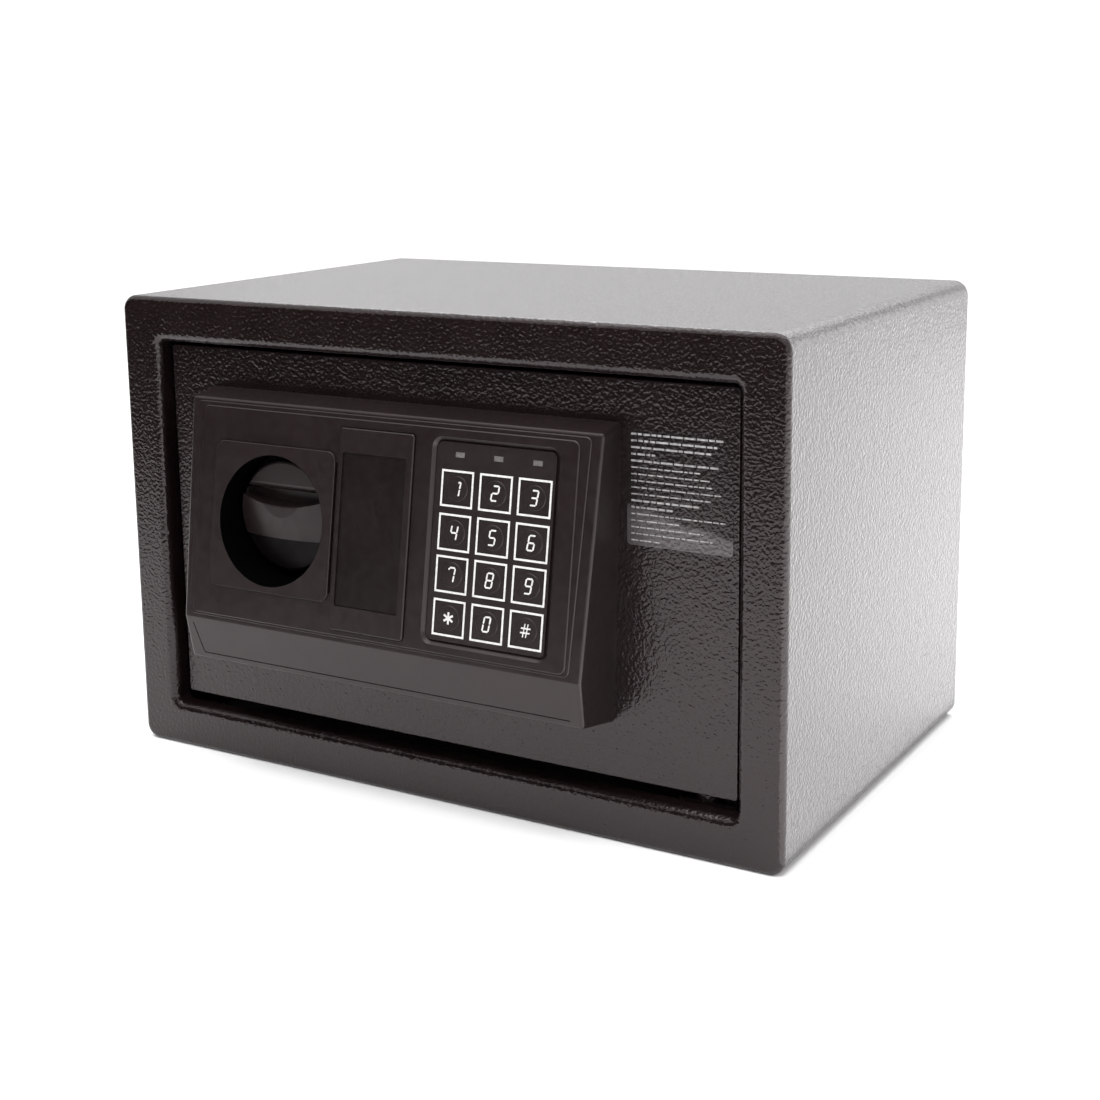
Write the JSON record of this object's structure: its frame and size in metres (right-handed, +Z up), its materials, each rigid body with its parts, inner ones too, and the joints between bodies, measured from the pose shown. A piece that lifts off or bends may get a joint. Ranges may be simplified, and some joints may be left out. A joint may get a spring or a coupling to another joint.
{
  "type": "in-room safe",
  "caption": "Small steel hotel safe with a side-hinged front door, a sloped plastic control housing with knob, key cover and keypad, and motor-free bolt work behind the door.",
  "frame": {"origin": "midway between the two base anchor holes, on the underside of the case floor", "axes": "+X to the right seen from the front, +Y from the door to the back, +Z up"},
  "size_m": [0.31, 0.2227, 0.2],
  "materials": {
    "case_paint": "hammered semi-gloss powder coat",
    "door_paint": "hammered semi-gloss powder coat",
    "zinc_steel": "zinc plated",
    "chrome_steel": "bright plated",
    "brass_parts": "machined",
    "housing_plastic": "satin moulded",
    "bezel_plastic": "satin moulded",
    "knob_plastic": "satin moulded",
    "keypad_film": "fine-textured film",
    "led_lens": "smoked lens",
    "label_film": "clear film over the paint",
    "circuit_board": "solder mask",
    "coil_copper": "enamelled winding",
    "battery_wrap": "plain printed wrap",
    "felt": "needle felt",
    "red_button": "moulded",
    "wire_jacket": "pvc jacket"
  },
  "bodies": {
    "case": {"case_shell": "case_paint", "rear_panel": "case_paint", "floor_mat": "felt", "bolt_keeper": "case_paint", "hinge_bracket_upper": "case_paint", "hinge_bracket_lower": "case_paint", "hinge_pins": "case_paint", "hinge_washer": "case_paint"},
    "door": {"door_plate": "door_paint", "hinge_lugs": "door_paint", "instruction_label": "label_film", "control_housing": "housing_plastic", "knob_bezel": "bezel_plastic", "spindle_bushing": "brass_parts", "bolt_guide": "zinc_steel", "guide_posts": "zinc_steel", "solenoid_frame": "zinc_steel", "solenoid_coil": "coil_copper", "plunger_spring": "zinc_steel", "lock_body": "chrome_steel", "lock_nut": "chrome_steel", "keypad_overlay": "keypad_film", "led_lenses": "led_lens", "keypad_board": "circuit_board", "key_switches": "housing_plastic", "buzzer": "housing_plastic", "inner_cover": "door_paint", "cover_standoffs": "zinc_steel", "cover_screws": "zinc_steel", "housing_screws": "zinc_steel", "battery_box": "housing_plastic", "batteries": "battery_wrap", "battery_contacts": "zinc_steel", "control_board": "circuit_board", "board_standoffs": "zinc_steel", "wire_harness": "wire_jacket"},
    "knob": {"knob": "knob_plastic", "knob_spindle": "zinc_steel", "drive_cam": "zinc_steel"},
    "bolts": {"bolt_carriage": "zinc_steel", "locking_bolts": "chrome_steel"},
    "plunger": {"solenoid_plunger": "zinc_steel"},
    "lock_core": {"lock_plug": "brass_parts", "lock_cam": "zinc_steel"},
    "cover": {"key_cover": "bezel_plastic"},
    "reset": {"reset_button": "red_button"},
    "battery_lid": {"battery_cover": "door_paint"},
    "key_1_body": {"key_1": "keypad_film"},
    "key_2_body": {"key_2": "keypad_film"},
    "key_3_body": {"key_3": "keypad_film"},
    "key_4_body": {"key_4": "keypad_film"},
    "key_5_body": {"key_5": "keypad_film"},
    "key_6_body": {"key_6": "keypad_film"},
    "key_7_body": {"key_7": "keypad_film"},
    "key_8_body": {"key_8": "keypad_film"},
    "key_9_body": {"key_9": "keypad_film"},
    "key_star_body": {"key_star": "keypad_film"},
    "key_0_body": {"key_0": "keypad_film"},
    "key_hash_body": {"key_hash": "keypad_film"}
  },
  "joints": [
    {"name": "door_swing", "type": "hinge", "parent": "case", "child": "door", "pos_m": [0.118, -0.085, 0.1], "axis": [0, 0, 1], "range_deg": [0, 100]},
    {"name": "knob_turn", "type": "hinge", "parent": "door", "child": "knob", "pos_m": [-0.064, -0.1, 0.1133], "axis": [0, -1, 0], "range_deg": [0, 70]},
    {"name": "bolt_throw", "type": "slide", "parent": "door", "child": "bolts", "axis": [-1, 0, 0], "range_m": [0, 0.016]},
    {"name": "plunger_slide", "type": "slide", "parent": "door", "child": "plunger", "axis": [0, 0, 1], "range_m": [0, 0.005], "deforming": ["plunger_spring"]},
    {"name": "key_lock_turn", "type": "hinge", "parent": "door", "child": "lock_core", "pos_m": [-0.0138, -0.1, 0.1135], "axis": [0, -1, 0], "range_deg": [0, 90]},
    {"name": "key_cover_pull", "type": "slide", "parent": "door", "child": "cover", "axis": [0, -0.9874, 0.158], "range_m": [0, 0.015]},
    {"name": "reset_press", "type": "slide", "parent": "door", "child": "reset", "axis": [0, -1, 0], "range_m": [0, 0.0015], "stiffness_N_per_m": 400, "springref_m": -0.001},
    {"name": "battery_cover_pull", "type": "slide", "parent": "door", "child": "battery_lid", "axis": [0, 1, 0], "range_m": [0, 0.012]},
    {"name": "key_1_press", "type": "slide", "parent": "door", "child": "key_1_body", "axis": [0, 0.9874, -0.158], "range_m": [0, 0.0004], "stiffness_N_per_m": 800, "springref_m": -0.0008},
    {"name": "key_2_press", "type": "slide", "parent": "door", "child": "key_2_body", "axis": [0, 0.9874, -0.158], "range_m": [0, 0.0004], "stiffness_N_per_m": 800, "springref_m": -0.0008},
    {"name": "key_3_press", "type": "slide", "parent": "door", "child": "key_3_body", "axis": [0, 0.9874, -0.158], "range_m": [0, 0.0004], "stiffness_N_per_m": 800, "springref_m": -0.0008},
    {"name": "key_4_press", "type": "slide", "parent": "door", "child": "key_4_body", "axis": [0, 0.9874, -0.158], "range_m": [0, 0.0004], "stiffness_N_per_m": 800, "springref_m": -0.0008},
    {"name": "key_5_press", "type": "slide", "parent": "door", "child": "key_5_body", "axis": [0, 0.9874, -0.158], "range_m": [0, 0.0004], "stiffness_N_per_m": 800, "springref_m": -0.0008},
    {"name": "key_6_press", "type": "slide", "parent": "door", "child": "key_6_body", "axis": [0, 0.9874, -0.158], "range_m": [0, 0.0004], "stiffness_N_per_m": 800, "springref_m": -0.0008},
    {"name": "key_7_press", "type": "slide", "parent": "door", "child": "key_7_body", "axis": [0, 0.9874, -0.158], "range_m": [0, 0.0004], "stiffness_N_per_m": 800, "springref_m": -0.0008},
    {"name": "key_8_press", "type": "slide", "parent": "door", "child": "key_8_body", "axis": [0, 0.9874, -0.158], "range_m": [0, 0.0004], "stiffness_N_per_m": 800, "springref_m": -0.0008},
    {"name": "key_9_press", "type": "slide", "parent": "door", "child": "key_9_body", "axis": [0, 0.9874, -0.158], "range_m": [0, 0.0004], "stiffness_N_per_m": 800, "springref_m": -0.0008},
    {"name": "key_star_press", "type": "slide", "parent": "door", "child": "key_star_body", "axis": [0, 0.9874, -0.158], "range_m": [0, 0.0004], "stiffness_N_per_m": 800, "springref_m": -0.0008},
    {"name": "key_0_press", "type": "slide", "parent": "door", "child": "key_0_body", "axis": [0, 0.9874, -0.158], "range_m": [0, 0.0004], "stiffness_N_per_m": 800, "springref_m": -0.0008},
    {"name": "key_hash_press", "type": "slide", "parent": "door", "child": "key_hash_body", "axis": [0, 0.9874, -0.158], "range_m": [0, 0.0004], "stiffness_N_per_m": 800, "springref_m": -0.0008}
  ],
  "couplings": [
    {"joint": "knob_turn", "follows": "bolt_throw", "rad_per_m": 76.35}
  ]
}
